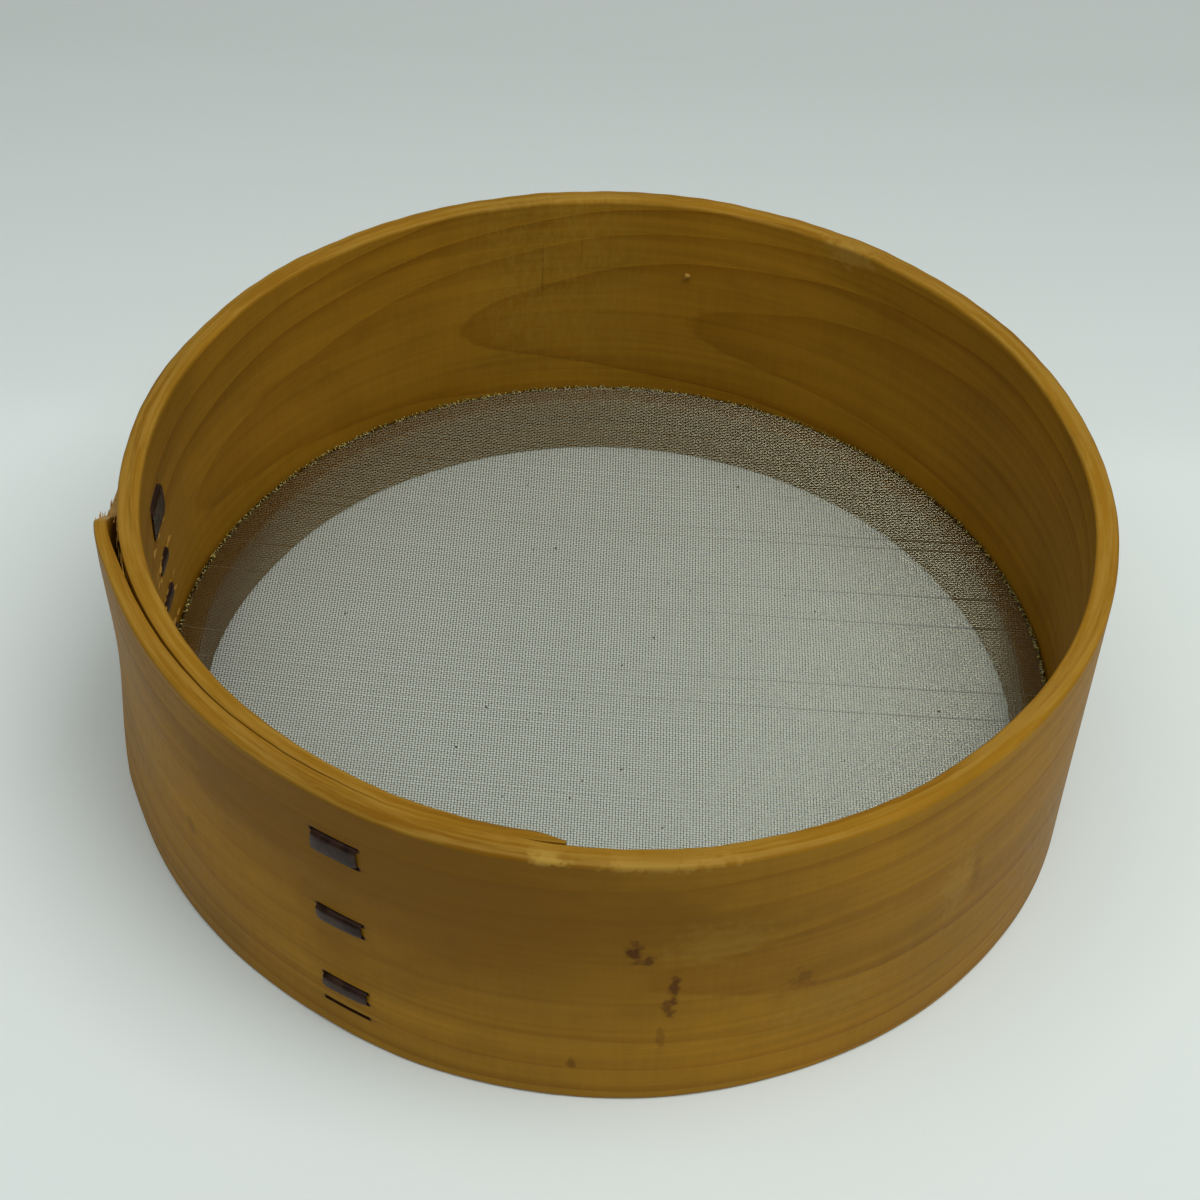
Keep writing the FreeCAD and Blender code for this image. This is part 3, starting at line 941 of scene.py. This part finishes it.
def paint_marks(r, color, board, place, inner_side, ragged):
    """Stains, scrapes, painted shade in the front slits, splits at the lacing and a wrinkled patch, each
    where it is on the board; the pale mark on the front of the rim is also a painted highlight.
    """
    outside = r.math("SUBTRACT", 1.0, inner_side)
    roughly = r.ramp(ragged, 0.2, 0.8, -0.9, 0.9, "LINEAR")

    def patch(angle, depth, half_length, half_height, strength, side):
        along = math.radians(angle) * RADIUS * MM
        u = r.math("DIVIDE", r.math("SUBTRACT", place[0], along), half_length * MM * 1.6)
        v = r.math("DIVIDE", r.math("SUBTRACT", place[1], (HEIGHT - depth) * MM), half_height * MM * 1.2)
        away = r.math("SQRT", r.math("ADD", r.math("MULTIPLY", u, u), r.math("MULTIPLY", v, v)))
        spot = r.ramp(r.math("ADD", away, roughly), 1.15, 0.35, 0.0, strength)
        return r.math("MULTIPLY", spot, inner_side if side else outside)

    for mark in PALE_MARKS:
        color = r.mix(patch(*mark), color, WORN_WOOD)
    for mark in DARK_MARKS:
        color = r.mix(patch(*mark), color, STAIN)

    wrinkled_at = math.radians(WRINKLED_ANGLE) * RADIUS * MM
    near = r.ramp(r.math("ABSOLUTE", r.math("SUBTRACT", place[0], wrinkled_at)), 0.008, 0.034, 1.0, 0.0)
    upper = r.ramp(place[1], 0.020, 0.055, 0.45, 1.0)
    wrinkles = r.ramp(r.noise(board, (800, 300, 300), 4.0, 0.65), 0.40, 0.68, 0.06, 0.30)
    wrinkled = r.math("MULTIPLY", r.math("MULTIPLY", near, upper), inner_side)
    color = r.mix(r.math("MULTIPLY", wrinkled, wrinkles), color, WRINKLED_WOOD)

    # The front slits' walls and the wood close around them get painted shade, and splits run on from their
    # corners
    row = math.radians(FRONT_ROW) * RADIUS * MM
    beyond = r.math("ABSOLUTE", r.math("SUBTRACT", place[0], row))
    reach = r.math("MULTIPLY", r.ramp(beyond, 0.0054, 0.0082, 1.0, 0.0), r.ramp(ragged, 0.35, 0.65, 0.3, 1.0))
    for crossing in FRONT_CROSSINGS:
        level = r.math("ABSOLUTE", r.math("SUBTRACT", place[1], (HEIGHT - crossing) * MM))
        line = r.ramp(level, 0.00008, 0.00034, 0.6, 0.0)
        within = r.ramp(beyond, 0.0055, 0.0060, 1.0, 0.0)
        close = r.ramp(level, 0.0005, 0.0007, 0.93, 0.0)
        # painted shade on the slit walls and the wood just around them
        color = r.mix(r.math("MULTIPLY", within, close), color, SLIT_PAINTED_SHADE)
        color = r.mix(r.math("MULTIPLY", line, reach), color, SPLIT_SHADE)
    return color


def bark_material():
    r = Recipe("cherry_bark", Specular_IOR_Level=0.12, Specular_Tint=(1.0, 0.75, 0.65, 1.0))
    strip = r.attribute("board").outputs["Vector"]
    lenticels = r.noise(strip, (160, 2600, 600), 3.0, 0.6)
    tone = r.noise(strip, (250, 250, 250), 3.0, 0.55)
    color = r.mix(r.ramp(tone, 0.35, 0.7), (0.015, 0.0065, 0.004), (0.045, 0.021, 0.013))
    color = r.mix(r.ramp(lenticels, 0.62, 0.8, 0.0, 0.4), color, (0.075, 0.042, 0.034))
    gloss = r.ramp(lenticels, 0.4, 0.75, 0.26, 0.5)
    normal = r.bumps((lenticels, 0.3, 0.0002), (tone, 0.2, 0.0005))
    return r.use(Base_Color=color, Roughness=gloss, Normal=normal)


def wire_materials():
    # the first two are one steel in two tones: a painted highlight for the crosswise wires and painted shade
    # for the lengthwise ones
    shades = (("wire_painted_lit", (0.46, 0.45, 0.31), 0.20), ("wire_painted_shaded", (0.36, 0.35, 0.235), 0.24),
              ("wire_brassy", (0.60, 0.50, 0.16), 0.38), ("wire_stained", (0.30, 0.27, 0.16), 0.50))
    made = []
    for name, tint, roughness in shades:
        r = Recipe(name, roughness, Metallic=1.0, Base_Color=(*tint, 1.0))
        made.append(r.material)
    return made


def dirt_material():
    r = Recipe("dry_soil", 0.9)
    place = r.node("TexCoord").outputs["Object"]
    tone = r.noise(place, (3000, 3000, 3000), 2.0)
    return r.use(Base_Color=r.mix(tone, (0.03, 0.02, 0.012), (0.14, 0.095, 0.055)))


def floor_material():
    """Pale paper, a little greyer behind the sieve."""
    r = Recipe("pale_paper", 0.85, Specular_IOR_Level=0.25)
    place = r.node("TexCoord").outputs["Object"]
    tone = r.noise(place, (9, 9, 9), 2.0)
    behind = r.node("SeparateXYZ", {0: place}).outputs[1]
    grey = r.math("ADD", r.ramp(behind, 0.09, 0.12, 0.0, 0.3), r.ramp(behind, 0.12, 0.36, 0.0, 1.0, "LINEAR"))
    color = r.mix(tone, (0.79, 0.845, 0.825), (0.81, 0.865, 0.845))
    return r.use(Base_Color=r.mix(grey, color, (0.60, 0.64, 0.62)))


# ---------------------------------------------------------------- camera, floor and light

def place_camera():
    data = bpy.data.cameras.new("camera")
    data.sensor_width = 36.0
    data.lens = 70.06
    data.clip_start = 0.01
    camera = bpy.data.objects.new("camera", data)
    bpy.context.scene.collection.objects.link(camera)
    camera.location = (0.0, -0.3681, 0.3983)
    target = Vector((-0.0019, -0.0369, HEIGHT * MM))
    aim = (target - camera.location).to_track_quat("-Z", "Y")
    roll = Quaternion((0, 0, 1), math.radians(2.277))
    camera.rotation_mode = "QUATERNION"
    camera.rotation_quaternion = aim @ roll
    bpy.context.scene.camera = camera


def make_floor():
    """A paper sweep: flat under the sieve, and curving up well behind it."""
    reach = 3.0
    flat_end = 0.35
    bend = 0.6
    steps = 12
    profile = [(-reach, 0.0), (flat_end, 0.0)]
    for step in range(1, steps + 1):
        t = math.radians(90 * step / steps)
        profile.append((flat_end + bend * math.sin(t), bend * (1 - math.cos(t))))
    profile.append((flat_end + bend, reach))
    points = [(x, y, z) for x in (-reach, reach) for y, z in profile]
    count = len(profile)
    faces = [[i, count + i, count + i + 1, i + 1] for i in range(count - 1)]
    mesh = bpy.data.meshes.new("paper_sweep")
    mesh.from_pydata(points, [], faces)
    mesh.materials.append(floor_material())
    mesh.shade_smooth()
    floor = bpy.data.objects.new("paper_sweep", mesh)
    bpy.context.scene.collection.objects.link(floor)


def area_light(name, place, target, size, power, color):
    data = bpy.data.lights.new(name, "AREA")
    data.size = size
    data.energy = power
    data.color = color
    light = bpy.data.objects.new(name, data)
    bpy.context.scene.collection.objects.link(light)
    light.location = place
    light.rotation_mode = "QUATERNION"
    light.rotation_quaternion = (Vector(target) - Vector(place)).to_track_quat("-Z", "Y")


def make_light():
    world = bpy.data.worlds.new("studio")
    world.use_nodes = True
    background = world.node_tree.nodes["Background"]
    background.inputs["Color"].default_value = (0.93, 0.97, 1.0, 1.0)
    background.inputs["Strength"].default_value = 0.175
    bpy.context.scene.world = world
    sieve = (0, 0, 0.03)
    area_light("ceiling", (0.42, -0.22, 1.2), sieve, size=0.8, power=8.2, color=(0.98, 1.0, 0.98))
    area_light("fill", (-0.20, -0.30, 1.25), sieve, size=1.2, power=6.0, color=(0.97, 1.0, 0.99))
    bpy.context.scene.view_settings.view_transform = "Standard"


# ---------------------------------------------------------------- the scene

place_camera()
make_floor()
make_light()

board_wood = wood_material("aged_pine", marked=True)
hoop_mesh(board_wood)
ring_mesh(wood_material("ring_pine", marked=False))
bark = bark_material()
lacing_mesh("front_bark_strip", "front_lacing", FRONT_ROW, FRONT_CROSSINGS, FRONT_TAILS, False, bark, 5)
lacing_mesh("end_bark_strip", "end_lacing", END_ROW, END_CROSSINGS, END_TAILS, True, bark, 6)
wire_shades = wire_materials()
cloth_mesh(wire_shades, random.Random(1))
hem_mesh(wire_shades, random.Random(2))
fringe_mesh(wire_shades[2:3], random.Random(3))
splinters(board_wood, random.Random(4))
nub(board_wood, random.Random(8))
specks(dirt_material(), random.Random(9))
